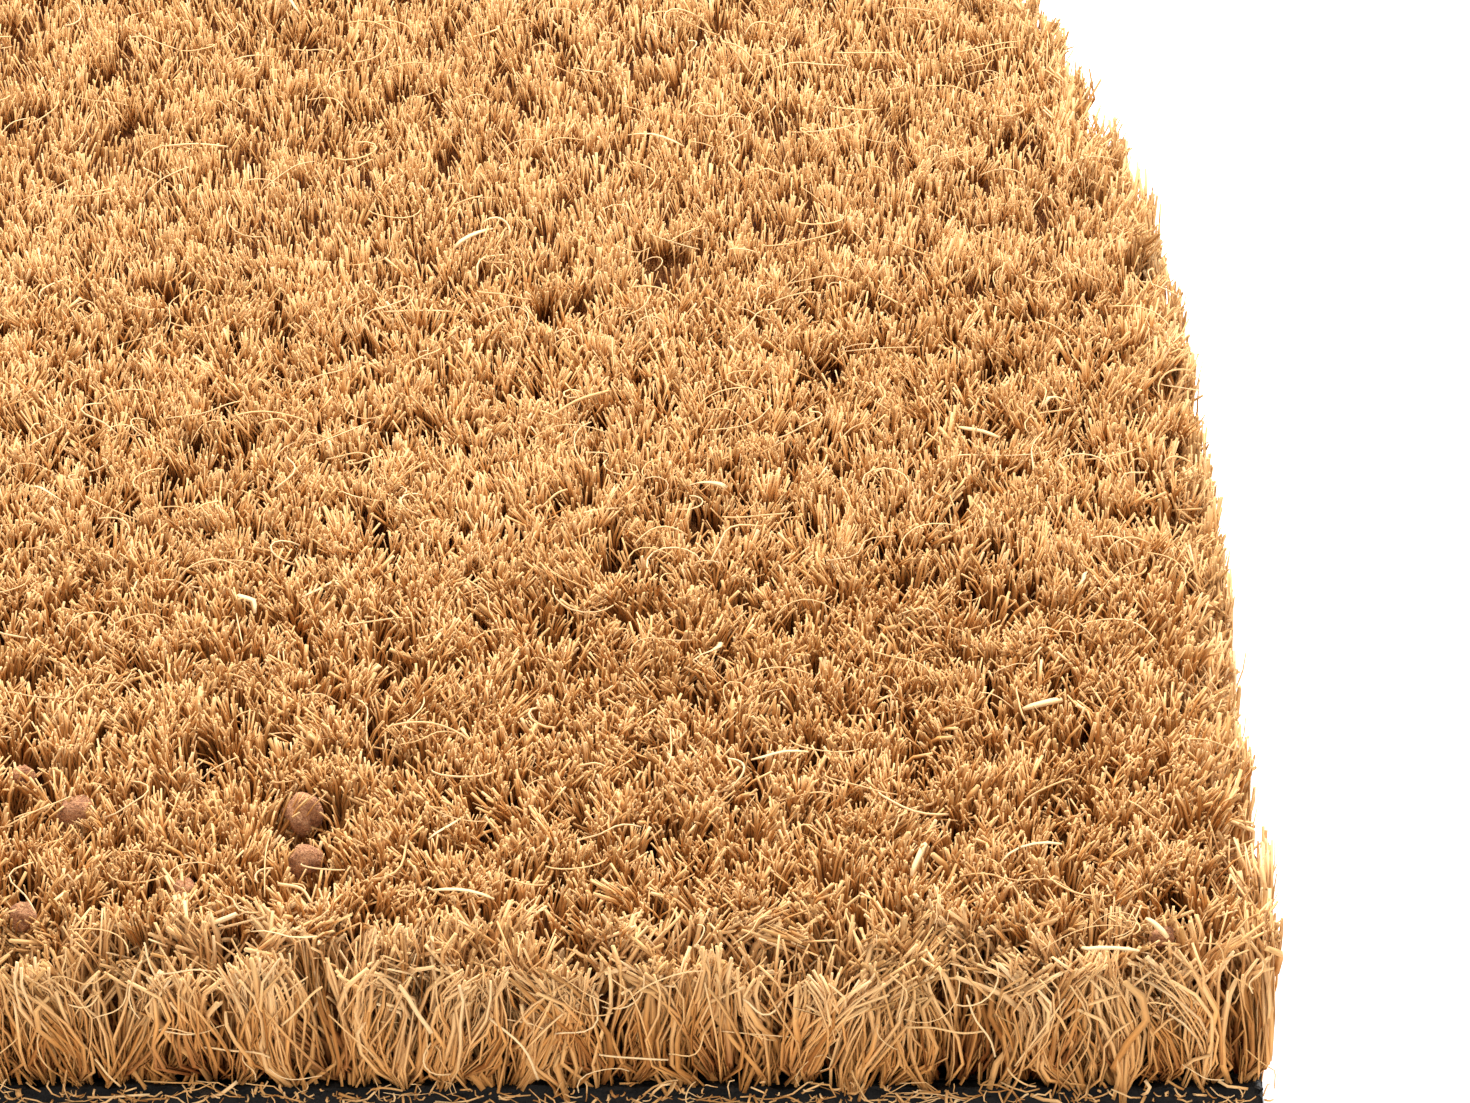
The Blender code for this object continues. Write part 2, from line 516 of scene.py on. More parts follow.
def layTufts():
    rng = np.random.default_rng(11)
    pitch = bandDepth / pile["rowsPerBand"]
    x, y, row, small = plantTufts(rng, pitch)
    count = len(x)
    near = closeness(x, y)
    depth = insideOutline(x, y)[0]
    density = hairDensity(near, depth, y - frontEdge)
    area = pitch * pile["tuftSpacing"] / mm**2
    turn = 2.4  # about the golden angle, which spreads the locks evenly
    angle = rng.uniform(0, 2 * math.pi, (count, 1)) + np.arange(pile["locks"]) * turn
    reach = pile["yarnRadius"] * np.sqrt((np.arange(pile["locks"]) + 0.5) / pile["locks"])
    outward = rng.uniform(0.2, 1.0, angle.shape)
    lean = pile["leanSpread"] * (1 + pile["rimLean"] * (depth < pile["rimWidth"]))
    drifts = [pile["leanDrift"] * softNoise(x, y, pile["driftCell"], seed) for seed in (21, 22)]
    heightDrift = pile["heightDrift"] * softNoise(x, y, pile["heightCell"], 23)
    hairs = density * area * rng.uniform(0.85, 1.15, count) * (1 - filling["fewer"] * small)
    return dict(
        x=x,
        y=y,
        band=(row // pile["rowsPerBand"]).astype(int),
        near=near,
        depth=depth,
        front=y - frontEdge,
        leanX=rng.normal(0, 1, count) * lean + drifts[0],
        leanY=rng.normal(0, 1, count) * lean + drifts[1],
        height=rng.normal(0, pile["tuftHeight"], count) + heightDrift,
        tone=rng.normal(0, 1, count) + softNoise(x, y, pile["toneCell"], 24),
        reach=-np.abs(rng.normal(0, pile["rimStep"], count)),
        lockX=reach * np.cos(angle),
        lockY=reach * np.sin(angle),
        splayX=rng.normal(0, pile["lockSplay"], angle.shape) + outward * reach * np.cos(angle),
        splayY=rng.normal(0, pile["lockSplay"], angle.shape) + outward * reach * np.sin(angle),
        lockHeight=rng.normal(0, pile["lockHeight"], angle.shape),
        lockTone=rng.normal(0, 1, angle.shape),
        waves=rng.normal(0, pile["lockWave"], (2, 2, *angle.shape)),
        hairs=np.maximum(hairs, 3).astype(int),
    )


def hairLengths(rng, tufts, which, lock):
    # sheared level, but lower at the outline and over pith, with a few hairs torn short
    count = len(which)
    full = pileTop - sheetTop + pile["proud"]
    length = full + tufts["height"][which] + tufts["lockHeight"][which, lock]
    outer = smoothStep(pile["shoulderWidth"], 0, tufts["depth"][which])
    length = length - pile["shoulder"] * outer
    length = length - rng.exponential(1, count) * (pile["shortBy"] + pile["shoulderShortBy"] * outer)
    torn = rng.uniform(0, 1, count) < pile["tornShare"]
    length = length - torn * rng.uniform(*pile["tornBy"], count) * mm
    length = np.minimum(length, pile["tallest"] - sheetTop)
    return length - pithDip(tufts["x"][which], tufts["y"][which])


def bendHairs(rng, tufts, which, lock, share, tall, form):
    # each hair's way across the mat, and what is left of its height
    count = len(which)
    opened = form["spread"] + pile["opening"] * share
    curve = np.clip((share - pile["splayStart"]) / (1 - pile["splayStart"]), 0, 1) ** pile["splayCurve"]
    tip = np.clip((share - pile["tipStart"]) / (1 - pile["tipStart"]), 0, 1) ** 2
    spots = []
    for axis, root, lockRoot, splay, lean in (
        (0, "x", "lockX", "splayX", "leanX"),
        (1, "y", "lockY", "splayY", "leanY"),
    ):
        spot = tufts[root][which][:, None] + tufts[lockRoot][which, lock][:, None] * opened
        spot = spot + rng.normal(0, pile["hairJitter"], (count, 1)) * opened
        spot = spot + tufts[lean][which][:, None] * tall
        splayed = tufts[splay][which, lock][:, None] + rng.normal(0, pile["hairSplay"], (count, 1))
        spot = spot + splayed * curve
        for turns in (1, 2):
            wave = rng.normal(0, form["wave"] / turns, count)
            wave = wave + form["lockWave"] * tufts["waves"][axis, turns - 1, which, lock] / turns
            spot = spot + wave[:, None] * np.sin(turns * math.pi * share)
        tipCurl = rng.normal(0, pile["tipCurl"], (count, 1)) * tip
        tall = tall - 0.3 * np.abs(tipCurl)
        spots.append(spot + tipCurl)
    return *spots, tall


def holdHairs(rng, tufts, which, share, x, y):
    # pushes back what bends out past the outline, though a little may stand out higher up
    depth, inX, inY = insideOutline(x, y)
    reach = tufts["reach"][which] + rng.normal(0, pile["hairStep"], len(which))
    bulge = share**1.3 + 0.4 * np.sin(math.pi * share)
    least = -(pile["overhang"] + reach)[:, None] * bulge
    push = np.maximum(least - depth, 0) * rng.uniform(0.82, 1.0, (len(which), 1))
    return x + inX * push, y + inY * push


def hairTones(rng, tufts, which, lock, form):
    # mostly alike within a tuft, with a few dark and a few blond hairs
    tones = 0.5 + pile["toneSpread"] * rng.normal(0, 1, len(which)) + form["blonder"]
    tones = tones + form["alike"] * (tufts["tone"][which] + tufts["lockTone"][which, lock])
    odd = rng.uniform(0, 1, len(which))
    tones = np.where(odd > 1 - pile["blond"][0], pile["blond"][1], tones)
    return np.where(odd < pile["dark"][0], pile["dark"][1], tones).clip(0.02, 0.98)


def growHairs(rng, tufts, pick, hairs, form):
    # the hairs of the picked tufts, as paths with radii, tones and shading
    which = np.repeat(pick, hairs)
    count = len(which)
    lock = rng.integers(0, pile["locks"], count)
    steps = np.linspace(0, 1, form["segments"] + 1)
    share = form["start"] + (1 - form["start"]) * (1 - (1 - steps) ** form["bunch"])
    tall = hairLengths(rng, tufts, which, lock)[:, None] * share
    x, y, tall = bendHairs(rng, tufts, which, lock, share, tall, form)
    x, y = holdHairs(rng, tufts, which, share, x, y)
    rootDepth = insideOutline(x[:, 0], y[:, 0])[0]
    outermost = smoothStep(0.7 * mm, 0, rootDepth)
    sink = form["sink"] * rng.uniform(0.1, 1.0, count) * outermost
    radius = pile["hairRadius"] * np.exp(rng.normal(0, pile["radiusSpread"], count))
    radius = radius * (1 + pile["farThicker"] * (1 - tufts["near"][which])) * form["thicker"]
    taper = np.interp(share, pile["taperAt"], pile["taper"])
    taper[0] = form["footWidth"]
    tones = hairTones(rng, tufts, which, lock, form)
    spin = rng.uniform(0, 2 * math.pi, count)
    return dict(
        paths=np.stack([x, y, sheetTop - sink[:, None] * (1 - share) + tall], -1),
        radii=radius[:, None] * taper,
        tones=tones,
        facing=np.stack([np.cos(spin), np.sin(spin), rng.normal(0, 0.2, count)], -1),
        flatness=rng.uniform(0.4, 1.0, count),
        # painted shade at the foot, deeper for hairs rooted further in from the outline
        shaded=form["shaded"] + form["behind"] * smoothStep(0.7 * mm, 2.4 * mm, rootDepth),
    )


def hairKinds(tufts, close):
    # which tufts, the share of their hairs, and how those are made: with fewer segments further off,
    # and inside the pile from the share of the height given as start
    rim = (tufts["depth"] < pile["rimWidth"]) | (tufts["front"] < pile["frontWidth"]) & close
    closest = close & (tufts["front"] < pile["closestDeep"])
    middle = close & ~closest & (tufts["front"] < pile["middleDeep"])
    return (
        (rim & closest, 0.95, dict(rimHair, segments=5)),
        (rim & close & ~closest, 1.1, dict(rimHair, segments=3)),
        (rim & ~close, 1.35, dict(rimHair, segments=3)),
        (~rim & closest, 1.0, dict(innerHair, segments=3, start=0.5)),
        (~rim & middle, 0.65, dict(innerHair, segments=2, start=0.55)),
        (~rim & middle, 0.35, dict(innerHair, segments=1, start=0.66)),
        (~rim & close & ~closest & ~middle, 1.0, dict(innerHair, segments=1, start=0.62)),
        # far off, the feet get less painted shade
        (~rim & ~close, 1.0, dict(innerHair, shaded=0.45, segments=1, start=0.62)),
    )


def sweptLots(rng, tufts, kinds):
    # the pile's hairs band by band, in lots, each with the node that it stands for
    masters = {}
    for _, _, form in kinds:
        shape = (form["segments"], form["start"] > 0)
        masters[shape] = masters.get(shape) or masterHair(3, *shape)
    for band, node in enumerate(rowNodes):
        for chosen, amount, form in kinds:
            pick = np.flatnonzero((tufts["band"] == band) & chosen)
            if not len(pick):
                continue
            hairs = np.maximum((tufts["hairs"][pick] * amount).astype(int), 1)
            grown = growHairs(rng, tufts, pick, hairs, form)
            master = masters[form["segments"], form["start"] > 0]
            count = len(grown["tones"])
            for lot in np.array_split(np.arange(count), 1 + count // pile["mostTogether"]):
                yield node, sweepHairs(master, {key: value[lot] for key, value in grown.items()})


def finishPile(number, lots, nodes, material):
    piece = joinHairs(f"coir_pile_{number:02d}", lots, material)
    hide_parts(*sorted(nodes))
    return sum(map(triangleCount, lots))


def buildPile(material):
    # fills one piece after another with lots, up to the most triangles in a piece
    tufts = layTufts()
    rng = np.random.default_rng(12)
    close = tufts["near"] > rng.uniform(0.2, 0.8, len(tufts["near"]))
    lots, nodes, number, total = [], set(), 1, 0
    for node, lot in sweptLots(rng, tufts, hairKinds(tufts, close)):
        if sum(map(triangleCount, lots)) + triangleCount(lot) > pile["mostTriangles"]:
            total += finishPile(number, lots, nodes, material)
            lots, nodes, number = [], set(), number + 1
        lots.append(lot)
        nodes.add(node)
    total += finishPile(number, lots, nodes, material)
    print(f"pile: {len(tufts['x'])} tufts in {number} pieces, {total} triangles")


# lumps of pith that came with the coir, caught in the pile
pith = dict(
    # millimetres in from the right side and from the front, and the radius
    placed=[
        (80, 22, 1.75),
        (79.5, 14.5, 1.3),
        (89, 10, 1.5),
        (99, 22, 1.5),
        (104, 27, 1.3),
        (102, 6.5, 1.2),
        (9.0, 3.4, 1.0),
    ],
    strewn=26,
    sizes=(0.9, 1.7),  # of the strewn ones
    sunk=0.75 * mm,  # with a third of its radius
    dip=2.7 * mm,  # how far the hairs over a lump are pressed down
    colours=[
        (0.36, (0.15, 0.050, 0.016)),
        (0.50, (0.35, 0.145, 0.056)),
        (0.66, (0.56, 0.28, 0.125)),
    ],
)


def pithSpots():
    rng = np.random.default_rng(41)
    spots = [
        (halfWidth - left * mm, frontEdge + back * mm, size * mm) for left, back, size in pith["placed"]
    ]
    while len(spots) < len(pith["placed"]) + pith["strewn"]:
        x = rng.uniform(-halfWidth, halfWidth)
        y = rng.uniform(frontEdge, backEdge)
        inside = float(insideOutline(np.array(x), np.array(y))[0]) > 8 * mm
        if inside and float(closeness(np.array(x), np.array(y))) < 0.05:
            spots.append((x, y, rng.uniform(*pith["sizes"]) * mm))
    return spots


def pithDip(x, y):
    # the hairs over a lump, and just in front of it, are pressed lower
    dip = np.zeros_like(x)
    for px, py, size in pithSpots():
        away = np.hypot(x - px, (y - py + 0.9 * size) * 0.65)
        dip = np.maximum(dip, pith["dip"] * smoothStep(1.5 * size, 0.8 * size, away))
    return dip


def buildPith():
    rng = np.random.default_rng(42)
    bm = bmesh.new()
    for x, y, size in pithSpots():
        made = bmesh.ops.create_icosphere(bm, subdivisions=3, radius=1.0)["verts"]
        spots = np.array([v.co[:] for v in made])
        # large and small bumps, different on each lump
        swell = 1 + 0.24 * softNoise(spots[:, 0] + 9 * x / mm, spots[:, 1] + spots[:, 2], 0.55, 43)
        swell = swell + 0.15 * softNoise(spots[:, 0] - spots[:, 2], spots[:, 1] + 9 * y / mm, 0.17, 44)
        squash = rng.uniform(0.75, 1.1, 3)
        for v, grow in zip(made, swell):
            v.co = Vector(v.co[i] * squash[i] * grow * size for i in range(3))
        bmesh.ops.rotate(bm, verts=made, matrix=Matrix.Rotation(rng.uniform(0, 6.28), 3, "Z"))
        bmesh.ops.translate(bm, verts=made, vec=(x, y, pileTop - pith["sunk"] - 0.35 * size))
    mesh = bpy.data.meshes.new("pith_lumps")
    bm.to_mesh(mesh)
    bm.free()
    mesh.shade_smooth()
    mesh.materials.append(pithFinish())
    addPiece("pith_lumps", mesh)
    print(f"pith: {len(mesh.polygons)} faces")


def pithFinish():
    finish = Finish("coir pith", Roughness=0.9)
    place = finish.add("ShaderNodeTexCoord", output=3)
    coarse = finish.noise(place, 900.0, 3.0, 0.6)
    fine = finish.noise(place, 5000.0, 2.0, 0.7)
    finish.feed("Base Color", finish.ramp(coarse * 0.5 + fine * 0.5, pith["colours"]))
    finish.bump(fine + coarse, 0.0005, 0.8)
    return finish.material


# single hairs that have worked loose and lie on the pile, and flat pale strips of husk
loose = dict(
    closeEach=48.0,  # square millimetres of pile to one, seen close
    farEach=600.0,
    tries=9000,  # places that are tried for them
    hairRadius=0.085,  # these radii are in millimetres
    frontHairs=65,  # that wander across the front face
    frontRadius=0.08,
    strips=20,
    stripRadius=(0.18, 0.32),
    stripShape=[0.7, 1, 1, 0.95, 0.9, 0.55],  # its width from end to end
    bits=3.2,  # to a millimetre of the sheet's front edge
    bitRadius=0.08,
)


def arcPaths(rng, x, y, z, length, heading, curl, rise, steps):
    # paths that start at a point and curl evenly as they go
    share = np.linspace(0, 1, steps + 1)
    bend = heading[:, None] + curl[:, None] * share
    bend = bend + rng.normal(0, 0.3, (len(x), 1)) * np.sin(rng.uniform(4, 9, (len(x), 1)) * share)
    step = length[:, None] / steps
    goX = np.cumsum(np.cos(bend) * step, axis=1)
    goY = np.cumsum(np.sin(bend) * step, axis=1)
    goX, goY = goX - goX[:, :1], goY - goY[:, :1]
    lift = rise[:, None] * np.sin(math.pi * share) + rng.normal(0, 0.25 * mm, (len(x), 1)) * share
    return x[:, None] + goX, y[:, None] + goY, z[:, None] + lift


def keepInside(x, y, outBy):
    depth, inX, inY = insideOutline(x, y)
    push = np.maximum(-outBy - depth, 0)
    return x + inX * push, y + inY * push


def lyingHairs(rng):
    # on top of the pile, many more of them in the close stretch
    tries = loose["tries"]
    x = rng.uniform(-halfWidth, halfWidth, tries)
    y = rng.uniform(frontEdge, backEdge, tries)
    each = 2 * halfWidth * (backEdge - frontEdge) / tries / mm**2
    near = closeness(x, y)
    chance = each * (near / loose["closeEach"] + (1 - near) / loose["farEach"])
    keep = (insideOutline(x, y)[0] > 2 * mm) & (rng.uniform(0, 1, tries) < chance)
    x, y, count = x[keep], y[keep], int(keep.sum())
    length = rng.uniform(2.5, 9, count) * mm
    curl = rng.normal(0, 2.0, count)
    heading = rng.uniform(0, 2 * math.pi, count)
    z = np.full(count, pileTop - 0.05 * mm) + rng.normal(0, 0.35 * mm, count)
    steps = 8
    rise = rng.uniform(0, 0.9, count) * mm
    x, y, z = arcPaths(rng, x, y, z, length, heading, curl, rise, steps)
    x, y = keepInside(x, y, 0.5 * mm)
    thick = np.exp(rng.normal(0, 0.22, (count, 1))) * loose["hairRadius"] * mm
    return dict(
        paths=np.stack([x, y, np.minimum(z, pileTop + 1.5 * mm)], -1),
        radii=thick * np.ones(steps + 1),
        tones=rng.uniform(0.55, 0.97, count),
        facing=np.tile([0.0, 0.0, 1.0], (count, 1)),
        flatness=rng.uniform(0.5, 1.0, count),
        shaded=0.1,
    )


def frontHairs(rng):
    # these wander across the front face
    count = loose["frontHairs"]
    x = halfWidth - rng.uniform(0.5 * mm, closeUp["across"] * 1.1, count)
    z = sheetTop + rng.uniform(0.8, 12.5, count) * mm
    length = rng.uniform(2.5, 8, count) * mm
    heading = rng.uniform(0, 2 * math.pi, count)
    curl, rise = rng.normal(0, 1.5, count), rng.uniform(0, 0.5, count) * mm
    steps = 8
    x, z, y = arcPaths(rng, x, z, np.zeros(count), length, heading, curl, rise, steps)
    x = np.minimum(x, halfWidth + 0.4 * mm)
    z = np.clip(z, 2.2 * mm, pileTop + 1.0 * mm)
    thick = np.exp(rng.normal(0, 0.25, (count, 1))) * loose["frontRadius"] * mm
    return dict(
        paths=np.stack([x, frontEdge - 0.35 * mm - y, z], -1),
        radii=thick * np.ones(steps + 1),
        tones=rng.uniform(0.35, 0.95, count),
        facing=np.tile([0.0, 1.0, 0.0], (count, 1)),
        flatness=rng.uniform(0.5, 1.0, count),
        shaded=0.1,
    )


def huskStrips(rng):
    # flat and pale, and most of them near the front
    count = loose["strips"]
    x = halfWidth - rng.uniform(4 * mm, closeUp["across"], count)
    y = frontEdge + rng.uniform(0, 1, count) ** 1.5 * closeUp["deep"]
    heading = rng.uniform(0, 2 * math.pi, count)
    length, curl = rng.uniform(3, 7, count) * mm, rng.normal(0, 0.6, count)
    z, rise = np.full(count, pileTop + 0.2 * mm), rng.uniform(0, 0.8, count) * mm
    steps = len(loose["stripShape"]) - 1
    x, y, z = arcPaths(rng, x, y, z, length, heading, curl, rise, steps)
    x, y = keepInside(x, y, 0.3 * mm)
    return dict(
        paths=np.stack([x, y, z], -1),
        radii=rng.uniform(*loose["stripRadius"], (count, 1)) * mm * np.array(loose["stripShape"]),
        tones=rng.uniform(0.80, 0.94, count),
        facing=np.stack([rng.normal(0, 0.4, count), rng.normal(0, 0.4, count), np.ones(count)], -1),
        flatness=rng.uniform(0.12, 0.25, count),
        shaded=0.05,
    )


def edgeBits(rng):
    # short bits that stick to the front edge of the sheet
    span = closeUp["across"] * 1.15
    count = int(loose["bits"] * span / mm)
    x = halfWidth - rng.uniform(-0.3, span / mm, count) * mm
    z = sheetTop + rng.normal(-0.35, 0.45, count) * mm
    length = rng.exponential(1.1, count) * mm + 0.5 * mm
    heading = rng.normal(0, 0.7, count) + math.pi * rng.integers(0, 2, count)
    curl, rise = rng.normal(0, 1.2, count), rng.uniform(0, 0.4, count) * mm
    steps = 3
    x, z, y = arcPaths(rng, x, z, np.zeros(count), length, heading, curl, rise, steps)
    thick = np.exp(rng.normal(0, 0.35, (count, 1))) * loose["bitRadius"] * mm
    return dict(
        paths=np.stack([x, frontEdge - 0.15 * mm - y, np.clip(z, 0.4 * mm, 4 * mm)], -1),
        radii=thick * np.ones(steps + 1),
        tones=rng.uniform(0.1, 0.9, count),
        facing=np.tile([0.0, 1.0, 0.0], (count, 1)),
        flatness=rng.uniform(0.5, 1.0, count),
        shaded=0.3,
    )


def buildLoose(material):
    rng = np.random.default_rng(51)
    parts = []
    for sides, makeHairs in ((3, lyingHairs), (3, frontHairs), (4, huskStrips), (3, edgeBits)):
        hairs = makeHairs(rng)
        master = masterHair(sides, hairs["paths"].shape[1] - 1, False)
        parts.append(sweepHairs(master, hairs))
    joinHairs("loose_hairs", parts, material)
    print(f"loose: {sum(map(triangleCount, parts))} triangles")


# the outline of the mat, for the sheet and for the inside of the pile
def outlineFace(inset):
    # the half round and the straight part in front of it, as faces at height 0
    bm = bmesh.new()
    bmesh.ops.create_circle(bm, cap_ends=True, radius=halfWidth - inset, segments=192)
    bmesh.ops.translate(bm, verts=bm.verts[:], vec=(0, roundCentre, 0))
    bmesh.ops.bisect_plane(
        bm, geom=bm.verts[:] + bm.edges[:] + bm.faces[:], plane_co=(0, roundCentre, 0),
        plane_no=(0, -1, 0), clear_outer=True,
    )
    straight = [e for e in bm.edges if all(abs(v.co.y - roundCentre) < 1e-6 for v in e.verts)]
    grown = bmesh.ops.extrude_edge_only(bm, edges=straight)["geom"]
    moved = [item for item in grown if isinstance(item, bmesh.types.BMVert)]
    for v in moved:
        v.co.y = frontEdge + inset
    return bm


def cutInCells(bm, step):
    # cuts the faces both ways, so that they can follow an uneven height
    for axis, low, high in ((0, -halfWidth, halfWidth), (1, frontEdge, backEdge)):
        for at in np.arange(low + step / 2, high, step):
            place = (at, 0, 0) if axis == 0 else (0, at, 0)
            facing = (1, 0, 0) if axis == 0 else (0, 1, 0)
            whole = bm.verts[:] + bm.edges[:] + bm.faces[:]
            bmesh.ops.bisect_plane(bm, geom=whole, plane_co=place, plane_no=facing, dist=1e-6)


# the matted yarn between the roots, seen only in gaps, coloured with painted shade: near black to dark red
# brown, for the shade deep between the tufts
core = dict(
    step=4.0 * mm,
    inset=3.4 * mm,  # from the outline
    closeDrop=6.0 * mm,  # how far below the pile's top it lies, seen close
    farDrop=2.4 * mm,
    edgeDrop=1.5 * mm,  # and how much further at its edge
    # painted shade: the core is coloured far darker than the hair, for the shade between the tufts
    colours=[
        (0.35, (0.030, 0.007, 0.001)),
        (0.50, (0.10, 0.030, 0.006)),
        (0.68, (0.26, 0.105, 0.028)),
    ],
)


def buildCore():
    bm = outlineFace(core["inset"])
    cutInCells(bm, core["step"])
    top = bm.verts[:]
    underside = bmesh.ops.extrude_face_region(bm, geom=bm.faces[:])["geom"]
    for item in underside:
        if isinstance(item, bmesh.types.BMVert):
            item.co.z = sheetTop + 0.2 * mm
    spots = np.array([v.co[:] for v in top])
    x, y = spots[:, 0], spots[:, 1]
    depth = insideOutline(x, y)[0]
    drop = core["farDrop"] + (core["closeDrop"] - core["farDrop"]) * closeness(x, y)
    rough = 0.5 * mm * softNoise(x, y, 4.5 * mm, 31) + 0.4 * mm * softNoise(x, y, 9 * mm, 32)
    edge = depth < core["inset"] + 0.1 * mm
    for v, height in zip(top, pileTop - drop + rough - np.where(edge, core["edgeDrop"], 0)):
        v.co.z = height
    bmesh.ops.dissolve_faces(bm, faces=[item for item in underside if isinstance(item, bmesh.types.BMFace)])
    bmesh.ops.recalc_face_normals(bm, faces=bm.faces[:])
    mesh = bpy.data.meshes.new("pile_core")
    bm.to_mesh(mesh)
    bm.free()
    mesh.shade_smooth()
    mesh.materials.append(shadedCoreFinish())
    addPiece("pile_core", mesh)
    print(f"core: {len(mesh.polygons)} faces")


def shadedCoreFinish():
    finish = Finish("matted yarn in painted shade", Roughness=0.9, Specular_IOR_Level=0.1)
    place = finish.add("ShaderNodeTexCoord", output=3)
    coarse = finish.noise(place, 260.0, 3.0, 0.6)
    fine = finish.noise(place, 1500.0, 2.0, 0.6)
    # its base colour is painted shade
    finish.feed("Base Color", finish.ramp(coarse * 0.5 + fine * 0.5, core["colours"]))
    finish.bump(fine, 0.0006, 0.8)
    return finish.material


# the vinyl sheet that holds the tufts
sheet = dict(
    closeStep=0.7 * mm,  # the length of an edge, seen close
    closeDeep=150 * mm,  # how far back from the front edge
    farStep=4.0 * mm,
    cornerRadius=1.5 * mm,
    rings=(0.35, 0.5, 0.8, 1.4),  # millimetres from ring to ring inwards on the top, for its lumps
    roll=0.45 * mm,  # how much the upper edge rolls in
    lump=0.22 * mm,
    wave=0.30 * mm,
    grain=[(0.35, (0.002, 0.0017, 0.0014)), (0.7, (0.012, 0.010, 0.008))],
    dustPlaces=[(0.62, (0, 0, 0)), (0.75, (0.5, 0.5, 0.5))],
    dust=(0.05, 0.030, 0.016),
)


def sheetOutline():
    # one face with rounded front corners, its edge cut short where it is seen close
    bm = outlineFace(0.0)
    bmesh.ops.dissolve_faces(bm, faces=bm.faces[:])
    bmesh.ops.dissolve_limit(bm, angle_limit=1e-4, verts=bm.verts[:], edges=bm.edges[:])
    corners = [v for v in bm.verts if v.co.y < frontEdge + 1e-6 and abs(v.co.x) > halfWidth - 1e-6]
    bmesh.ops.bevel(
        bm, geom=corners, offset=sheet["cornerRadius"], segments=4, profile=0.5,
        affect="VERTICES", material=-1,
    )
    for step in (sheet["farStep"], sheet["closeStep"]):
        for edge in bm.edges[:]:
            ends = np.array([v.co[:2] for v in edge.verts])
            seen = closeness(ends[:, 0], ends[:, 1]).max() > 0
            seen = seen and ends[:, 1].max() < frontEdge + sheet["closeDeep"]
            cuts = int(edge.calc_length() / step)
            if cuts and (seen or step == sheet["farStep"]):
                bmesh.ops.subdivide_edges(bm, edges=[edge], cuts=cuts)
    return bm


def thickenSheet(bm):
    # up to its full height, with bands round the side and rings on the top to shape
    grown = bmesh.ops.extrude_face_region(bm, geom=bm.faces[:])["geom"]
    top = [item for item in grown if isinstance(item, bmesh.types.BMFace)]
    for v in top[0].verts:
        v.co.z = sheetTop
    upright = [e for e in bm.edges if abs(e.verts[0].co.z - e.verts[1].co.z) > sheetTop / 2]
    bmesh.ops.subdivide_edges(bm, edges=upright, cuts=4, use_grid_fill=True)
    top = [max(bm.faces, key=lambda f: f.calc_center_median().z + 1e-6 * len(f.verts))]
    for width in sheet["rings"]:
        grown = bmesh.ops.extrude_face_region(bm, geom=top)["geom"]
        bmesh.ops.delete(bm, geom=top, context="FACES_ONLY")
        top = [item for item in grown if isinstance(item, bmesh.types.BMFace)]
        ring = top[0].verts[:]
        x, y = np.array([v.co[:2] for v in ring]).T
        _, inX, inY = insideOutline(x, y)
        for v, moveX, moveY in zip(ring, inX * width * mm, inY * width * mm):
            v.co += Vector((moveX, moveY, 0))
    bmesh.ops.recalc_face_normals(bm, faces=bm.faces[:])


def rollEdges(bm):
    # rolled edges, with the lumps of the poured vinyl showing most on the upper one
    spots = np.array([v.co[:] for v in bm.verts])
    x, y, z = spots.T
    depth, inX, inY = insideOutline(x, y)
    rolled = sheet["roll"] * (smoothStep(0.62, 1.0, z / sheetTop) ** 2 + 0.5 * (z < 0.1 * mm))
    side = smoothStep(0.5 * mm, 0, depth)
    lump = softNoise(x + z, y - z, 1.3 * mm, 61) + 0.6 * softNoise(x - 2 * z, y + z, 0.7 * mm, 62)
    push = side * (rolled + sheet["wave"] * (0.5 + 0.5 * softNoise(x, y, 8 * mm, 63)))
    push = push + side * sheet["lump"] * (0.6 + lump) * (z > 0.1 * mm)
    lift = np.where(z > sheetTop * 0.95, sheet["lump"] * 1.2 * lump - 0.35 * mm * side, 0)
    for v, moveX, moveY, moveZ in zip(bm.verts, inX * push, inY * push, lift):
        v.co += Vector((moveX, moveY, moveZ))


def buildSheet():
    bm = sheetOutline()
    thickenSheet(bm)
    rollEdges(bm)
    mesh = bpy.data.meshes.new("vinyl_sheet")
    bm.to_mesh(mesh)
    bm.free()
    mesh.shade_smooth()
    mesh.materials.append(vinylFinish())
    piece = addPiece("vinyl_sheet", mesh)
    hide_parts("backing_sheet")


def vinylFinish():
    finish = Finish("black vinyl", Specular_IOR_Level=0.13)
    place = finish.add("ShaderNodeTexCoord", output=3)
    grain = finish.noise(place, 1500.0, 4.0, 0.7)
    lumps = finish.noise(place, 420.0, 3.0, 0.55)
    dust = finish.noise(place, 700.0, 2.0, 0.5)
    colour = finish.ramp(grain, sheet["grain"])
    dusty = finish.ramp(dust, sheet["dustPlaces"])
    finish.feed("Base Color", finish.mix(dusty, colour, (*sheet["dust"], 1.0)))
    finish.feed("Roughness", 0.22 + 0.5 * grain)
    finish.bump(grain * 0.5 + lumps, 0.0007, 0.9)
    return finish.material


# camera, floor and light
camera = dict(
    elevation=31.0,  # degrees above the level
    lens=140.8,  # millimetres, on a 36 mm sensor
    distance=0.464,  # to the pile's front right corner
    cornerAcross=0.3686,  # where that corner is, in frame widths from the middle
    cornerDown=0.2711,
)


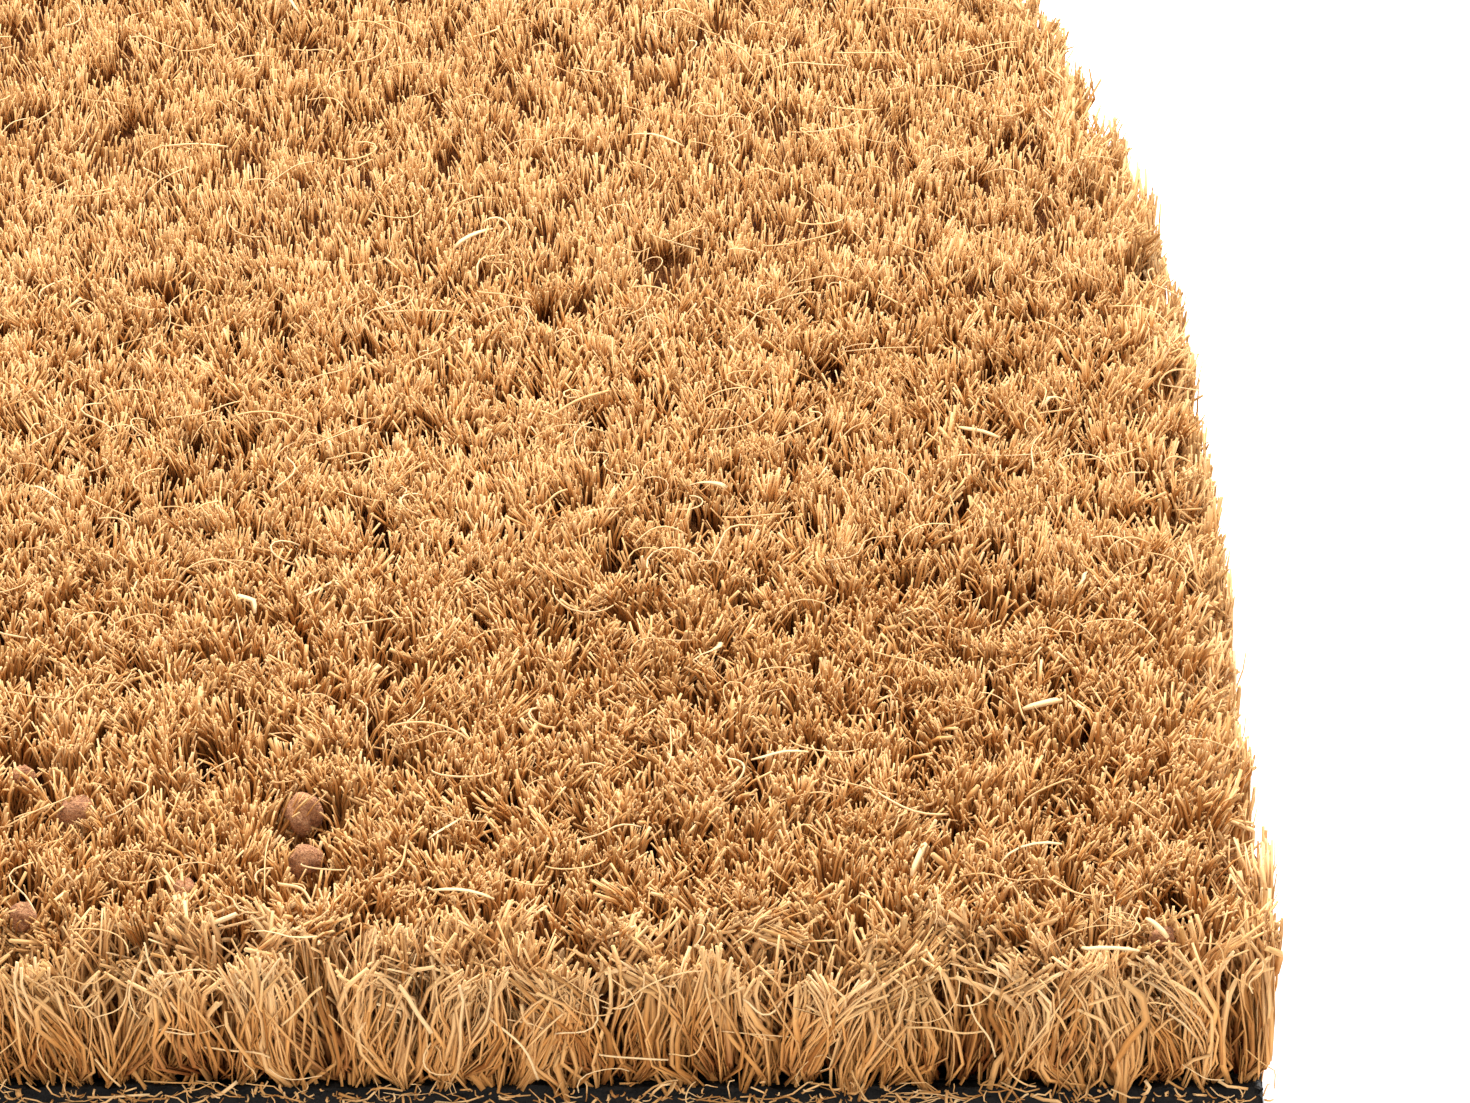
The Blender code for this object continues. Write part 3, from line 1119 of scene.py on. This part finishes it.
def placeCamera():
    tilt = math.radians(camera["elevation"])
    right = Vector((1, 0, 0))
    up = Vector((0, math.sin(tilt), math.cos(tilt)))
    forward = Vector((0, math.cos(tilt), -math.sin(tilt)))
    data = bpy.data.cameras.new("camera")
    data.sensor_width = 36.0
    data.lens = camera["lens"]
    data.clip_start = 0.01
    frameWidth = camera["distance"] * data.sensor_width / data.lens
    corner = Vector((halfWidth, frontEdge, pileTop))
    spot = (
        corner
        - right * camera["cornerAcross"] * frameWidth
        + up * camera["cornerDown"] * frameWidth
        - forward * camera["distance"]
    )
    rig = bpy.data.objects.new("camera", data)
    turn = Matrix.Rotation(math.radians(90) - tilt, 4, "X")
    rig.matrix_world = Matrix.Translation(spot) @ turn
    bpy.context.scene.collection.objects.link(rig)
    bpy.context.scene.camera = rig


studio = dict(
    floorSize=6.0,
    floorColour=(0.93, 0.93, 0.93),
    sky=1.43,
    aim=(0.2, -0.05, 0),  # what both lamps point at
    keyPlace=(0.30, 0.50, 0.85),
    keyPower=34.5,
    keySize=0.80,
    fillPlace=(0.35, -1.30, 0.55),
    fillPower=1.6,
    fillSize=0.9,
)


def addSoftLight(name, place, aim, size, power):
    data = bpy.data.lights.new(name, "AREA")
    data.shape = "DISK"
    data.size = size
    data.energy = power
    light = bpy.data.objects.new(name, data)
    light.location = place
    light.rotation_euler = (Vector(aim) - Vector(place)).to_track_quat("-Z", "Y").to_euler()
    bpy.context.scene.collection.objects.link(light)


def buildStudio():
    bm = bmesh.new()
    bmesh.ops.create_grid(bm, x_segments=1, y_segments=1, size=studio["floorSize"] / 2)
    mesh = bpy.data.meshes.new("floor")
    bm.to_mesh(mesh)
    bm.free()
    finish = Finish("floor", Roughness=0.9)
    finish.feed("Base Color", (*studio["floorColour"], 1.0))
    mesh.materials.append(finish.material)
    floor = bpy.data.objects.new("floor", mesh)
    bpy.context.scene.collection.objects.link(floor)
    floor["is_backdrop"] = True
    world = bpy.data.worlds.new("studio")
    world.use_nodes = True
    world.node_tree.nodes["Background"].inputs["Color"].default_value = (1.0, 1.0, 1.0, 1.0)
    world.node_tree.nodes["Background"].inputs["Strength"].default_value = studio["sky"]
    bpy.context.scene.world = world
    for light in ("key", "fill"):
        place, size, power = (studio[light + part] for part in ("Place", "Size", "Power"))
        addSoftLight(f"{light} light", place, studio["aim"], size, power)
    bpy.context.scene.view_settings.view_transform = "Standard"


placeCamera()
buildStudio()
coir = coirFinish()
buildPile(coir)
buildPith()
buildLoose(coir)
buildCore()
buildSheet()
[[list(map(float, corner)) for corner in box] for box in (cadBox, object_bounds())]
